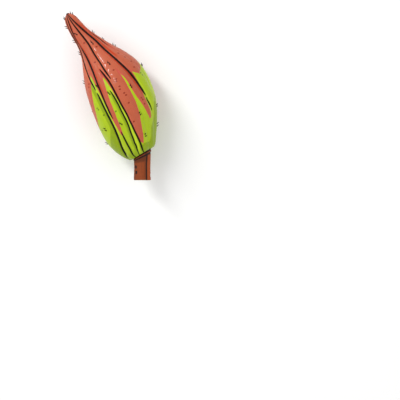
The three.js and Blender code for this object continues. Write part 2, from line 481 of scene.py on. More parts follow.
@dataclass(frozen=True)
class Stripe:
    """A tinted stripe beside a groove: painted shade, painted highlight or gloss, by its tint."""

    tint: Tint
    groove: int
    offset: tuple[float, float]
    stations: tuple[float, float]
    strength: float = 1.0
    softness: float = 0.35
    fade: float = 7.0
    least_width: float = 0.3
    full_radius: float = 18.0

    def mask(self, section: Section, angles: np.ndarray) -> np.ndarray:
        """How much the stripe tints points of the skin.

        Args:
            section: The section that they are on.
            angles: Where round it.

        Returns:
            A share from 0 to 1 for each.
        """
        away = section.beside(self.groove, angles)
        narrow = self.least_width + (1 - self.least_width) * min(section.radius / self.full_radius, 1.0)
        low, high = (edge * narrow for edge in self.offset)
        across = smoothstep(np.minimum(away - low, high - away), -self.softness, self.softness)
        room = min(section.station - self.stations[0], self.stations[1] - section.station)
        return self.strength * across * float(smoothstep(room, 0, self.fade))


@dataclass(frozen=True)
class SkinPattern:
    """Where the skin is red, where it is creased, and the painted shade, highlight and gloss beside the
    creases.

    Grooves are numbered as in the form: 0 on the left side, 1 to 8 over the top, 9 to 12 below.
    """

    tongues: tuple[Area, ...] = (
        Area(((20, -125, -30), (40, -129, -40), (50, -129, -47), (59, -127, -52), (70, -123, -58),
              (79, -119, -63.5), (86, -115, -74), (93, -111, -90), (99, -107, -101))),
        Area(((20, -70, -5), (40, -58, -8), (49, -46, -14), (55, -39.5, -16.4), (60, -36.8, -17.5),
              (66, -34.9, -19), (72, -33.2, -19.9), (84, -31.2, -20), (90, -29.9, -20.3), (97, -27.4, -20.2),
              (100, -25.6, -21), (102, -23.6, -22.2))),
        Area(((20, -35, 40), (40, -28, 26), (50, -20, 19), (57, -14.8, 16), (65, -10.9, 18.3),
              (72, -8.5, 19.5), (78, -6.4, 20.8), (84, -4.2, 22.3), (90, -1.5, 22.6), (97, 2.8, 22.2),
              (102, 4.8, 22.2), (107, 6.6, 21.6), (111, 9.8, 19.4), (113.2, 14, 16.5))),
        Area(((20, -5, 60), (40, 2, 55), (50, 9, 47), (59, 16.2, 40.5), (65, 21, 41), (72, 22.9, 42.7),
              (78, 25.3, 43.8), (84, 29.6, 45), (90, 34.9, 46.8), (96, 41, 50.3), (98.7, 44.5, 49.5),
              (99.6, 46.5, 48))),
        Area(((20, 10, 110), (40, 20, 104), (48, 28, 98), (53, 33, 90), (57, 36, 81), (60, 37.8, 76),
              (62, 40, 71), (63.5, 44, 66), (64.5, 47, 60), (65.2, 51, 55.5))),
        Area(((40, 70, 125), (48, 92, 121), (56, 98, 117), (66, 100, 115), (80, 103, 117), (92, 108, 119),
              (101, 113, 119), (105, 116, 118))),
        Area(((40, 92, 148), (50, 106, 137), (60, 112, 140), (75, 122, 148), (90, 134, 153),
              (103, 143, 154), (110, 147, 151))),
        Area(((40, 130, 195), (50, 150, 188), (60, 156, 190), (75, 167, 194), (88, 177, 193),
              (98, 185, 187))),
        Area(((40, 175, 240), (50, 192, 232), (60, 198, 228), (80, 210, 229), (95, 216, 226),
              (106, 220, 222))),
    )
    # Creases sink the skin and darken it with painted shade.
    creases: tuple[Crease, ...] = (
        Crease(0, 0, 117, 0.42),
        Crease(1, 0, 62, 0.62), Crease(1, 64, 120, 0.74),
        Crease(2, 0, 87, 0.68), Crease(2, 98, 120, 0.58),
        Crease(3, 67, 120, 0.54),
        Crease(4, 49, 120, 0.64),
        Crease(5, 0, 60, 0.64),
        Crease(7, 0, 83, 0.76), Crease(7, 84, 95, 0.62),
        Crease(8, 19, 36, 0.55),
        Crease(9, 2, 116, 0.45), Crease(10, 2, 114, 0.42),
        Crease(11, 2, 115, 0.42), Crease(12, 2, 116, 0.42),
    )
    # Stripes of painted shade and painted highlight beside the creases, and one glossy stripe.
    stripes: tuple[Stripe, ...] = (
        Stripe(Tint.SALMON_PAINTED_HIGHLIGHT, 0, (-1.4, 0), (4, 62)), Stripe(Tint.ORANGE_PAINTED_SHADE, 0, (0, 2.2), (4, 66)),
        Stripe(Tint.SALMON_PAINTED_HIGHLIGHT, 1, (-1.6, 0), (4, 60)), Stripe(Tint.SALMON_PAINTED_HIGHLIGHT, 1, (0, 1.2), (4, 52)),
        Stripe(Tint.OLIVE_PAINTED_SHADE, 1, (-3.0, 0), (52, 121)), Stripe(Tint.LIME_PAINTED_HIGHLIGHT, 1, (0, 2.2), (50, 121)),
        Stripe(Tint.ORANGE_PAINTED_SHADE, 2, (0, 2.4), (4, 70)), Stripe(Tint.ORANGE_PAINTED_SHADE, 2, (-1.3, 0), (50, 90), 0.7),
        Stripe(Tint.OLIVE_PAINTED_SHADE, 3, (-2.0, 0), (68, 121)), Stripe(Tint.LIME_PAINTED_HIGHLIGHT, 3, (0, 3.2), (62, 121)),
        Stripe(Tint.SALMON_PAINTED_HIGHLIGHT, 4, (0, 1.5), (46, 112)), Stripe(Tint.ORANGE_PAINTED_SHADE, 4, (-1.3, 0), (46, 64), 0.7),
        Stripe(Tint.SALMON_PAINTED_HIGHLIGHT, 5, (-1.3, 1.5), (4, 62)), Stripe(Tint.WAX, 5, (0.6, 4.6), (28, 68), 1.0, 0.9),
        Stripe(Tint.ORANGE_PAINTED_SHADE, 7, (-2.6, 0), (6, 82)), Stripe(Tint.SALMON_PAINTED_HIGHLIGHT, 7, (0, 1.2), (4, 62)),
        Stripe(Tint.ORANGE_PAINTED_SHADE, 7, (1.2, 3.2), (4, 50)), Stripe(Tint.LIME_PAINTED_HIGHLIGHT, 7, (0.4, 2.0), (66, 95), 0.7),
        Stripe(Tint.ORANGE_PAINTED_SHADE, 8, (-1.4, 1.4), (8, 44)),
        *(Stripe(Tint.OLIVE_PAINTED_SHADE, groove, (-2.4, 0), (50, 121)) for groove in HIDDEN_GROOVES),
        *(Stripe(Tint.LIME_PAINTED_HIGHLIGHT, groove, (0, 2.0), (50, 119)) for groove in HIDDEN_GROOVES),
        *(Stripe(Tint.ORANGE_PAINTED_SHADE, groove, (-2.0, 2.0), (4, 60)) for groove in HIDDEN_GROOVES),
    )
    # Painted shade: olive areas on the flanks and at the foot.
    painted_shade_areas: tuple[Area, ...] = (
        Area(((86, -39, -36), (94, -45, -32), (100, -58, -31), (105, -77, -38), (110, -100, -46),
              (120, -120, -80))),
        Area(((72, 77, 75), (77, 74, 77), (81, 71.5, 80.8), (85, 71.5, 83.7), (88, 68.5, 85.9),
              (91, 64.5, 88), (94, 62.5, 90), (99, 63.5, 93.3), (101, 61, 94.6), (103, 54.5, 96),
              (105, 49.5, 97.3), (107, 47.3, 98.6), (111, 46.7, 101.6), (113, 45, 103), (114, 42, 103.8),
              (121, 40, 107.4))),
        Area(((113.4, 20, 16), (114.1, 12, 26), (114.8, 9, 50), (116, 8, 80), (121, 8, 84))),
    )
    # Painted highlight: a lime area on a rib.
    painted_highlight_areas: tuple[Area, ...] = (
        Area(((60, 79, 84), (66, 76, 88), (74, 78, 88), (88, 82, 88))),
    )
    spots: tuple[tuple[float, float], ...] = (
        (26, -19), (43, -20), (45, 47), (50, 51), (55, 56), (60, 51), (55, 9), (62, 5), (63.6, 3.5), (68, 5),
        (70, 3.5), (74, 8), (76, 9.5), (82, 9), (83, 35), (84.6, 37), (88, 38), (96, 8), (55, -56), (57, -58),
        (70, -68), (74, -53), (75.5, -51), (81, -44), (83, -17.5), (66, 58), (68, 60), (33, 12), (90, -66),
    )
    spot_radius: float = 0.95
    spot_squash: float = 1.4
    spot_room: float = 2.0
    hidden_spots: int = 70
    hidden_stations: tuple[float, float] = (25, 110)
    hidden_angles: tuple[float, float] = (95, 265)
    area_edge: tuple[float, float] = (-0.3, 0.5)
    # Painted shade: olive darkening towards the foot.
    foot: tuple[float, float] = (113.0, 117.5)
    foot_painted_shade: float = 0.75
    seed: int = 7

    def all_spots(self) -> list[tuple[float, float]]:
        """The spots over the top, and more on the belly.

        Returns:
            A station and an angle for each.
        """
        draw = random.Random(self.seed)
        belly = [
            (draw.uniform(*self.hidden_stations), draw.uniform(*self.hidden_angles))
            for _ in range(self.hidden_spots)
        ]
        return [*self.spots, *belly]

    def tint(self, tint: Tint, section: Section, angles: np.ndarray) -> np.ndarray:
        """How much of a tint points of the skin have.

        Args:
            tint: The tint.
            section: The section that the points are on.
            angles: Where round it.

        Returns:
            A share from 0 to 1 for each.
        """
        masks = [0.0 * angles]
        masks += [stripe.mask(section, angles) for stripe in self.stripes if stripe.tint is tint]
        areas = {Tint.OLIVE_PAINTED_SHADE: self.painted_shade_areas, Tint.LIME_PAINTED_HIGHLIGHT: self.painted_highlight_areas}.get(tint, ())
        masks += [smoothstep(area.inside(section, angles), *self.area_edge) for area in areas]
        # Painted shade: the skin turns olive towards the foot.
        if tint is Tint.OLIVE_PAINTED_SHADE:
            masks.append(0.0 * angles + self.foot_painted_shade * float(smoothstep(section.station, *self.foot)))
        return np.max(masks, axis=0)

    def spot(self, section: Section, angles: np.ndarray, spots: Sequence[tuple[float, float]]) -> np.ndarray:
        """How far points are inside a spot.

        Args:
            section: The section that the points are on.
            angles: Where round it.
            spots: The spots, each a station and an angle.

        Returns:
            The distance to a spot's edge in millimetres, below 0 outside.
        """
        inside = 0.0 * angles - 1.0
        for station, angle in spots:
            if abs(station - section.station) < self.spot_room:
                across = np.radians(wrapped(angles - angle)) * section.radius
                reach = np.hypot(across, (station - section.station) * self.spot_squash)
                inside = np.maximum(inside, self.spot_radius - reach)
        return inside


# Shaders

Link = Union["Signal", float, Sequence[float]]


@dataclass(frozen=True)
class Signal:
    """A value, colour or vector on its way between nodes. Sums and products of values add Math nodes."""

    graph: "Graph"
    socket: bpy.types.NodeSocket

    def __add__(self, other: Link) -> "Signal":
        """The sum."""
        return self.graph.maths("ADD", self, other)

    def __radd__(self, other: Link) -> "Signal":
        """The sum, with the number first."""
        return self.graph.maths("ADD", other, self)

    def __sub__(self, other: Link) -> "Signal":
        """The difference."""
        return self.graph.maths("SUBTRACT", self, other)

    def __rsub__(self, other: Link) -> "Signal":
        """The difference, with the number first."""
        return self.graph.maths("SUBTRACT", other, self)

    def __mul__(self, other: Link) -> "Signal":
        """The product."""
        return self.graph.maths("MULTIPLY", self, other)

    def __rmul__(self, other: Link) -> "Signal":
        """The product, with the number first."""
        return self.graph.maths("MULTIPLY", other, self)


@dataclass(frozen=True)
class Grain:
    """A soft noise: its lumps in a unit, how many finer layers it has and how strong they are.

    It is read at the place on the object, in metres, or where it has a share for how quickly it changes
    along the piece, in the mesh's own grain, in millimetres.
    """

    scale: float
    detail: float = 2.0
    roughness: float = 0.5
    along: float | None = None


class Graph:
    """The node graph of one material."""

    def __init__(self, name: str) -> None:
        """Starts an empty material.

        Args:
            name: The material's name.
        """
        self.material = bpy.data.materials.new(name)
        self.material.use_nodes = True
        self.tree = self.material.node_tree
        self.tree.nodes.clear()

    def node(
        self,
        kind: str,
        inputs: Mapping[Union[str, int], Link] | None = None,
        output: Union[str, int] = 0,
        **settings: Any,
    ) -> Signal:
        """Adds a node.

        Args:
            kind: The node's type, without its ShaderNode prefix.
            inputs: The values or signals of its sockets, by name or number.
            output: Which of its outputs to take.
            **settings: Its settings, set first. The stops of a ramp are pairs of a place and a colour.

        Returns:
            The signal from that output.
        """
        made = self.tree.nodes.new(f"ShaderNode{kind}")
        for stop, (place, colour) in enumerate(settings.pop("stops", ())):
            elements = made.color_ramp.elements
            element = elements[stop] if stop < len(elements) else elements.new(place)
            element.position, element.color = place, colour
        for setting, value in settings.items():
            setattr(made, setting, value)
        for socket, value in (inputs or {}).items():
            if isinstance(value, Signal):
                self.tree.links.new(value.socket, made.inputs[socket])
            else:
                made.inputs[socket].default_value = value
        return Signal(self, made.outputs[output])

    def maths(self, operation: str, first: Link, second: Link) -> Signal:
        """One step of arithmetic on two values, by the Math node's operation."""
        return self.node("Math", {0: first, 1: second}, operation=operation)

    def layer(self, name: str, output: str = "Fac") -> Signal:
        """A layer that the mesh carries, as a value, or as a vector by its output's name."""
        return self.node("Attribute", output=output, attribute_name=name)

    def place(self) -> Signal:
        """The place on the object, in metres."""
        return self.node("TexCoord", output="Object")

    def stretched(self, vector: Signal, scale: Sequence[float]) -> Signal:
        """A vector with each of its parts scaled."""
        return self.node("VectorMath", {0: vector, 1: tuple(scale)}, operation="MULTIPLY")

    def grain(self, grain: Grain) -> Signal:
        """Soft noise from 0 to 1.

        Args:
            grain: Its recipe.

        Returns:
            The noise.
        """
        if grain.along is None:
            place = self.place()
        else:
            place = self.stretched(self.layer("grain", "Vector"), (grain.along, 1, 1))
        inputs = {"Vector": place, "Scale": grain.scale, "Detail": grain.detail, "Roughness": grain.roughness}
        return self.node("TexNoise", inputs)

    def rise(self, value: Link, low: float, high: float) -> Signal:
        """A smooth rise of a value, from 0 at the first limit to 1 at the second."""
        inputs = {"Value": value, "From Min": low, "From Max": high}
        return self.node("MapRange", inputs, interpolation_type="SMOOTHSTEP")

    def blend(self, share: Link, first: Link, second: Link) -> Signal:
        """A mix of two colours, by the share of the second, from 0 to 1."""
        return self.node("Mix", {0: share, 6: first, 7: second}, output=2, data_type="RGBA")

    def shaded(self, colour: Signal, brightness: Signal) -> Signal:
        """A colour made lighter or darker, by what to multiply it by."""
        return self.node("VectorMath", {0: colour, "Scale": brightness}, operation="SCALE")

    def surface(self, height: Signal | None = None, depth: float = 0.0, **inputs: Link) -> bpy.types.Material:
        """Finishes the material with its shader.

        Args:
            height: The relief's height, from 0 to 1, if it has one.
            depth: The relief's depth in millimetres.
            **inputs: The shader's inputs, with _ for each space in a name.

        Returns:
            The material.
        """
        sockets = {name.replace("_", " "): value for name, value in inputs.items()}
        if height is not None:
            relief = {"Height": height, "Distance": depth * MM, "Strength": 1.0}
            sockets["Normal"] = self.node("Bump", relief)
        shader = self.node("BsdfPrincipled", sockets)
        output = self.tree.nodes.new("ShaderNodeOutputMaterial")
        self.tree.links.new(shader.socket, output.inputs["Surface"])
        return self.material


@dataclass(frozen=True)
class SkinFinish:
    """Downy, satin skin: red tongues over green, paired spots, and painted shade and highlight at the
    creases.
    """

    red: tuple[float, ...] = srgb(180, 88, 60)
    # Painted shade in orange beside the creases, painted highlight in salmon on their banks.
    orange_painted_shade: tuple[float, ...] = srgb(180, 60, 26)
    salmon_painted_highlight: tuple[float, ...] = srgb(206, 104, 72)
    rim: tuple[float, ...] = srgb(190, 76, 66)
    red_spot: tuple[float, ...] = srgb(128, 36, 18)
    # Painted shade: the near black of a crease on red.
    red_crease_shade: tuple[float, ...] = srgb(14, 6, 6)
    green: tuple[float, ...] = srgb(161, 185, 20)
    # Painted shade in olive beside the creases and on the flanks, painted highlight in lime on the ribs.
    olive_painted_shade: tuple[float, ...] = srgb(133, 156, 12)
    lime_painted_highlight: tuple[float, ...] = srgb(180, 204, 36)
    green_spot: tuple[float, ...] = srgb(86, 104, 10)
    # Painted shade: the near black of a crease on green.
    green_crease_shade: tuple[float, ...] = srgb(10, 12, 4)
    fibres: Grain = Grain(2.6, 3, along=0.1)
    veins: Grain = Grain(0.9, 2, along=0.12)
    clouds: Grain = Grain(0.22, 3, along=0.5)
    pores: Grain = Grain(1700.0, 1)
    glints: Grain = Grain(330.0, 1)
    relief: float = 0.07
    vein_width: float = 0.045
    ragged: float = 0.9
    tongue_edge: tuple[float, float] = (-0.16, 0.16)
    rim_edge: tuple[float, float] = (1.5, 0.3)
    spot_edge: tuple[float, float] = (-0.15, 0.25)
    # Edges and strengths of the painted shade in and beside the creases.
    shade_halo_edge: tuple[float, float] = (-0.55, 0.0)
    crease_edge: tuple[float, float] = (-0.2, 0.12)
    glint_edge: tuple[float, float] = (0.42, 0.56)
    shade_halo_share: float = 0.3
    crease_shade_share: float = 0.69
    gloss: float = 0.15

    def material(self) -> bpy.types.Material:
        """Builds the skin's material.

        Returns:
            The material, which reads the layers that the skin carries.
        """
        graph = Graph("pod_skin")
        fibres, pores = graph.grain(self.fibres), graph.grain(self.pores)
        off_vein = graph.node("Math", {0: graph.grain(self.veins) - 0.5}, operation="ABSOLUTE")
        veins = graph.rise(off_vein, self.vein_width, 0.0)
        edge = graph.layer("red") + (fibres - 0.5) * self.ragged
        redness = graph.rise(edge, *self.tongue_edge)
        skin = graph.blend(redness, self.green_skin_and_painted_light(graph), self.red_skin_and_painted_light(graph, edge))
        spotted = graph.rise(graph.layer("spot") + (pores - 0.5) * 0.5, *self.spot_edge)
        skin = graph.blend(spotted * 0.85, skin, graph.blend(redness, self.green_spot, self.red_spot))
        mottle = fibres * 0.16 + graph.grain(self.clouds) * 0.14 - (pores - 0.5) * 0.12 + veins * 0.06
        skin = graph.shaded(skin, 0.86 + mottle)
        # Painted shade: each crease, and a halo beside it, is darkened towards near black.
        crease = graph.layer("crease") + (fibres - 0.5) * 0.3
        creased = graph.rise(crease, *self.crease_edge)
        crease_painted_shade = graph.rise(crease, *self.shade_halo_edge) * self.shade_halo_share + creased * self.crease_shade_share
        skin = graph.blend(crease_painted_shade, skin, graph.blend(redness, self.green_crease_shade, self.red_crease_shade))
        waxed = self.gloss + graph.layer(Tint.WAX.value) * (1 - self.gloss)
        return graph.surface(
            fibres * 0.4 + pores * 0.35 + veins * 0.3 + spotted * 0.3 - creased * 0.4,
            self.relief,
            Base_Color=skin,
            Roughness=0.36 + fibres * 0.16 + creased * 0.3,
            Specular_IOR_Level=0.15,
            Coat_Weight=waxed * graph.rise(graph.grain(self.glints), *self.glint_edge) * (1 - creased),
            Coat_Roughness=0.16,
            Sheen_Weight=0.02,
            Sheen_Roughness=0.4,
        )

    def green_skin_and_painted_light(self, graph: Graph) -> Signal:
        """Green between the tongues: olive painted shade by creases and flanks, lime painted highlight on
        ribs.
        """
        green = graph.blend(graph.layer(Tint.OLIVE_PAINTED_SHADE.value), self.green, self.olive_painted_shade)
        return graph.blend(graph.layer(Tint.LIME_PAINTED_HIGHLIGHT.value), green, self.lime_painted_highlight)

    def red_skin_and_painted_light(self, graph: Graph, edge: Signal) -> Signal:
        """The colour of the tongues, with their brighter rim, orange painted shade and salmon painted
        highlight.

        Args:
            graph: The material's graph.
            edge: How far inside a tongue a point is.

        Returns:
            The colour.
        """
        red = graph.blend(graph.layer(Tint.ORANGE_PAINTED_SHADE.value), self.red, self.orange_painted_shade)
        red = graph.blend(graph.layer(Tint.SALMON_PAINTED_HIGHLIGHT.value) * 0.8, red, self.salmon_painted_highlight)
        return graph.blend(graph.rise(edge, *self.rim_edge) * 0.8, red, self.rim)


@dataclass(frozen=True)
class BristleFinish:
    """Stiff bristles, dark at the root and horny at the tip."""

    root: tuple[float, ...] = srgb(9, 5, 4)
    tip: tuple[float, ...] = srgb(34, 22, 14)
    streaks: Grain = Grain(2600.0)

    def material(self) -> bpy.types.Material:
        """Builds the bristles' material.

        Returns:
            The material, which reads how far up its bristle a point is.
        """
        graph = Graph("bristle_horn")
        streaks = graph.grain(self.streaks)
        colour = graph.blend(graph.layer("up") * (0.6 + streaks * 0.4), self.root, self.tip)
        return graph.surface(
            streaks, 0.03, Base_Color=colour, Roughness=0.5 + streaks * 0.2, Specular_IOR_Level=0.2
        )


@dataclass(frozen=True)
class DownFinish:
    """Fine pale down."""

    pale: tuple[float, ...] = srgb(196, 172, 116)
    tawny: tuple[float, ...] = srgb(190, 140, 96)
    patches: Grain = Grain(180.0)

    def material(self) -> bpy.types.Material:
        """Builds the down's material.

        Returns:
            The material.
        """
        graph = Graph("pod_down")
        patches = graph.grain(self.patches)
        colour = graph.blend(graph.rise(patches, 0.3, 0.7), self.pale, self.tawny)
        return graph.surface(Base_Color=colour, Roughness=0.6 + patches * 0.2)


@dataclass(frozen=True)
class ScarFinish:
    """Dried brown tissue where the flower's style fell off."""

    dry: tuple[float, ...] = srgb(44, 24, 18)
    worn: tuple[float, ...] = srgb(96, 58, 36)
    crumbs: Grain = Grain(1500.0, 4, 0.6)

    def material(self) -> bpy.types.Material:
        """Builds the scar's material.

        Returns:
            The material.
        """
        graph = Graph("style_scar")
        crumbs = graph.grain(self.crumbs)
        colour = graph.blend(graph.rise(crumbs, 0.45, 0.75), self.dry, self.worn)
        return graph.surface(crumbs, 0.2, Base_Color=colour, Roughness=0.7 + crumbs * 0.2)


@dataclass(frozen=True)
class BarkFinish:
    """Brown, finely ribbed bark with painted shade and a painted highlight, and the pale wood of the cut end.
    """

    bark: tuple[float, ...] = srgb(134, 60, 20)
    # The shade colour is the dark end of the bark's grain and also its painted shade; light is a painted
    # highlight; crease is the painted shade of the dark lines and the colour of the bark's spots.
    shade: tuple[float, ...] = srgb(92, 42, 16)
    light: tuple[float, ...] = srgb(160, 72, 28)
    crease: tuple[float, ...] = srgb(26, 14, 10)
    cortex: tuple[float, ...] = srgb(158, 150, 84)
    wood: tuple[float, ...] = srgb(214, 190, 138)
    pith: tuple[float, ...] = srgb(236, 224, 190)
    fibres: Grain = Grain(2.4, 4, 0.6, along=0.07)
    patches: Grain = Grain(0.5, 3, along=0.35)
    pores: Grain = Grain(2200.0)
    relief: float = 0.22

    def material(self) -> bpy.types.Material:
        """Builds the stalk's material.

        Returns:
            The material, which reads the layers that the stalk carries.
        """
        graph = Graph("stalk_bark")
        fibres, patches = graph.grain(self.fibres), graph.grain(self.patches)
        colour = graph.blend(graph.rise(fibres * 0.6 + patches * 0.4, 0.26, 0.52), self.shade, self.bark)
        # Painted shade, then a painted highlight strip, from the stalk's layers.
        colour = graph.blend(graph.layer("shade") * 0.85, colour, self.shade)
        colour = graph.blend(graph.layer("light") * 0.85, colour, self.light)
        # Painted shade in the dark lines, and the bark's own dark spots.
        creased = graph.rise(graph.layer("crease") + (fibres - 0.5) * 0.3, -0.15, 0.15)
        colour = graph.blend(creased * 0.95, colour, self.crease)
        colour = graph.blend(graph.layer("cut"), colour, self.end_grain(graph))
        return graph.surface(
            fibres * 0.7 + patches * 0.2 - creased * 0.5,
            self.relief,
            Base_Color=colour,
            Roughness=0.6 + fibres * 0.22,
            Specular_IOR_Level=0.25,
        )

    def end_grain(self, graph: Graph) -> Signal:
        """The colours of the cut end, from its rim to the pith.

        Args:
            graph: The material's graph.

        Returns:
            The colour.
        """
        pores = graph.grain(self.pores)
        out = graph.layer("out") + (pores - 0.5) * 0.08
        colour = graph.blend(graph.rise(out, 0.2, 0.3), self.pith, self.wood)
        colour = graph.blend(graph.rise(out, 0.72, 0.78), colour, self.cortex)
        colour = graph.blend(graph.rise(out, 0.9, 0.95), colour, self.bark)
        return graph.shaded(colour, 0.85 + pores * 0.3)


@dataclass(frozen=True)
class FloorFinish:
    """Matt white board."""

    board: tuple[float, ...] = (0.93, 0.93, 0.925, 1.0)
    tooth: tuple[float, ...] = (0.91, 0.91, 0.905, 1.0)
    speckle: Grain = Grain(900.0)

    def material(self) -> bpy.types.Material:
        """Builds the floor's material.

        Returns:
            The material.
        """
        graph = Graph("white_board")
        speckle = graph.grain(self.speckle)
        colour = graph.blend(speckle, self.board, self.tooth)
        return graph.surface(Base_Color=colour, Roughness=0.8 + speckle * 0.1, Specular_IOR_Level=0.1)


# Pieces


def finished(bm: bmesh.types.BMesh, name: str, material: bpy.types.Material, slot: Slot) -> bpy.types.Object:
    """Turns a bmesh in millimetres into a shaded piece of the object that rides on its body.

    Args:
        bm: The bmesh, which is freed.
        name: The piece's name.
        material: Its material.
        slot: The record's slot that its finish belongs to. It is not used.

    Returns:
        The piece.
    """
    bmesh.ops.scale(bm, vec=Vector((MM, MM, MM)), verts=bm.verts)
    for face in bm.faces:
        face.smooth = True
    mesh = bpy.data.meshes.new(name)
    bm.to_mesh(mesh)
    bm.free()
    mesh.materials.append(material)
    piece = bpy.data.objects.new(name, mesh)
    bpy.context.scene.collection.objects.link(piece)
    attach(piece, BODY)
    log.info("%s: %d faces", name, len(mesh.polygons))
    return piece


def aimed(place: Vector, direction: Vector) -> Matrix:
    """A matrix that stands an upright shape on a place, with its +Z along a direction."""
    return Matrix.Translation(place) @ direction.to_track_quat("Z", "Y").to_matrix().to_4x4()


class Sleeve:
    """A grid drawn round a piece and sewn up. Its columns run along the piece and its rows round it."""

    def __init__(self, columns: int, rows: int, layers: Sequence[str]) -> None:
        """Starts a flat grid.

        Args:
            columns: How many columns go round the piece.
            rows: How many rows go along it.
            layers: The names of its layers of values. It also has one of vectors, for the grain.
        """
        self.columns, self.rows = columns, rows
        self.bm = bmesh.new()
        bmesh.ops.create_grid(self.bm, x_segments=columns, y_segments=rows, size=1.0)
        self.layers = {name: self.bm.verts.layers.float.new(name) for name in layers}
        self.grain = self.bm.verts.layers.float_vector.new("grain")

    def points(self) -> Iterator[tuple[bmesh.types.BMVert, int, int]]:
        """Goes over the grid.

        Yields:
            Each vertex with its column and its row. The first and the last column are one.
        """
        for vert in self.bm.verts:
            column = round((vert.co.x + 1) / 2 * self.columns) % self.columns
            yield vert, column, round((vert.co.y + 1) / 2 * self.rows)

    def sew(self) -> bmesh.types.BMesh:
        """Closes the seam and both ends.

        Returns:
            The closed bmesh.
        """
        rim = [vert for vert in self.bm.verts if vert.is_boundary]
        bmesh.ops.remove_doubles(self.bm, verts=rim, dist=1e-4)
        bmesh.ops.recalc_face_normals(self.bm, faces=self.bm.faces)
        return self.bm


@dataclass(frozen=True)
class Skin:
    """The pod's skin, with a column of its mesh in each groove."""

    form: PodForm
    pattern: SkinPattern = SkinPattern()
    finish: SkinFinish = SkinFinish()
    rows: int = 300
    column_width: float = 1.2
    crowding: float = 0.55
    least_columns: int = 5
    crease_depth: float = 0.45
    crease_bank: float = 0.45
    creased_radius: float = 12.0
    lumps: float = 0.12
    lump_rates: tuple[float, float] = (0.11, 2.4)
    lumpy_radius: float = 20.0
    grain_radius: float = 22.0
    layers: tuple[str, ...] = ("red", "crease", "spot", *(tint.value for tint in Tint))

    def columns(self) -> list[tuple[int, float]]:
        """The columns of the mesh.

        Returns:
            For each the groove before it, by number, and how far across the rib after that it is.
        """
        columns = []
        for groove, width in enumerate(self.form.section(self.form.rest_station).widths):
            steps = max(self.least_columns, round(width / self.column_width))
            for step in range(steps):
                even = step / steps
                crowded = (1 - math.cos(math.pi * even)) / 2
                columns.append((groove, even + (crowded - even) * self.crowding))
        return columns

    def relief(self, section: Section, angles: np.ndarray, ink: np.ndarray, turn: np.ndarray) -> np.ndarray:
        """The fine shape of the skin: sharp creases, and slow lumps over the ribs.

        Args:
            section: The section.
            angles: Where round it.
            ink: How far each point is inside a dark crease.
            turn: How far round the ribs each point is, in degrees.

        Returns:
            How far each point stands out.
        """
        banks = smoothstep(ink, -self.crease_bank, self.crease_bank)
        sharp = self.crease_depth * banks * min(section.radius / self.creased_radius, 1.0)
        along, around = self.lump_rates
        lumps = [
            noise.noise(Vector((section.station * along, around * math.cos(a), around * math.sin(a))))
            for a in np.radians(turn)
        ]
        calm = min(section.radius / self.lumpy_radius, 1.0)
        return (self.lumps * calm * np.array(lumps) - sharp) * self.form.fade_into_dimple(section)

    def rings(self) -> Iterator[tuple[np.ndarray, dict[str, np.ndarray], np.ndarray]]:
        """Works out the skin, one ring after another from the tip to the dimple.

        Yields:
            The ring's points, its layers by name, and its grain's places.
        """
        groove, share = (np.array(part) for part in zip(*self.columns()))
        turn = (groove + share) * 360.0 / len(self.form.grooves)
        spots = self.pattern.all_spots()
        for station, radius in self.form.path(self.rows):
            section = self.form.section(station, radius)
            angles = section.between_creases(groove, share)
            ink = np.max([crease.inside(section, angles) for crease in self.pattern.creases], axis=0)
            layers = {
                "red": np.max([area.inside(section, angles) for area in self.pattern.tongues], axis=0),
                "crease": ink,
                "spot": self.pattern.spot(section, angles, spots),
                **{tint.value: self.pattern.tint(tint, section, angles) for tint in Tint},
            }
            points = self.form.ring(section, angles, self.relief(section, angles, ink, turn))
            across = np.radians(turn)
            ring = self.grain_radius * np.stack([np.cos(across), np.sin(across)], axis=1)
            yield points, layers, np.insert(ring, 0, station, axis=1)

    def build(self) -> bpy.types.Object:
        """Builds and dresses the skin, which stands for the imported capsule.

        Returns:
            The piece.
        """
        rings = list(self.rings())
        sleeve = Sleeve(len(self.columns()), self.rows, self.layers)
        for vert, column, row in sleeve.points():
            points, values, grain = rings[row]
            vert.co = points[column]
            vert[sleeve.grain] = grain[column]
            for name, layer in sleeve.layers.items():
                vert[layer] = values[name][column]
        piece = finished(sleeve.sew(), "skin", self.finish.material(), Slot.SKIN)
        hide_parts("capsule")
        return piece


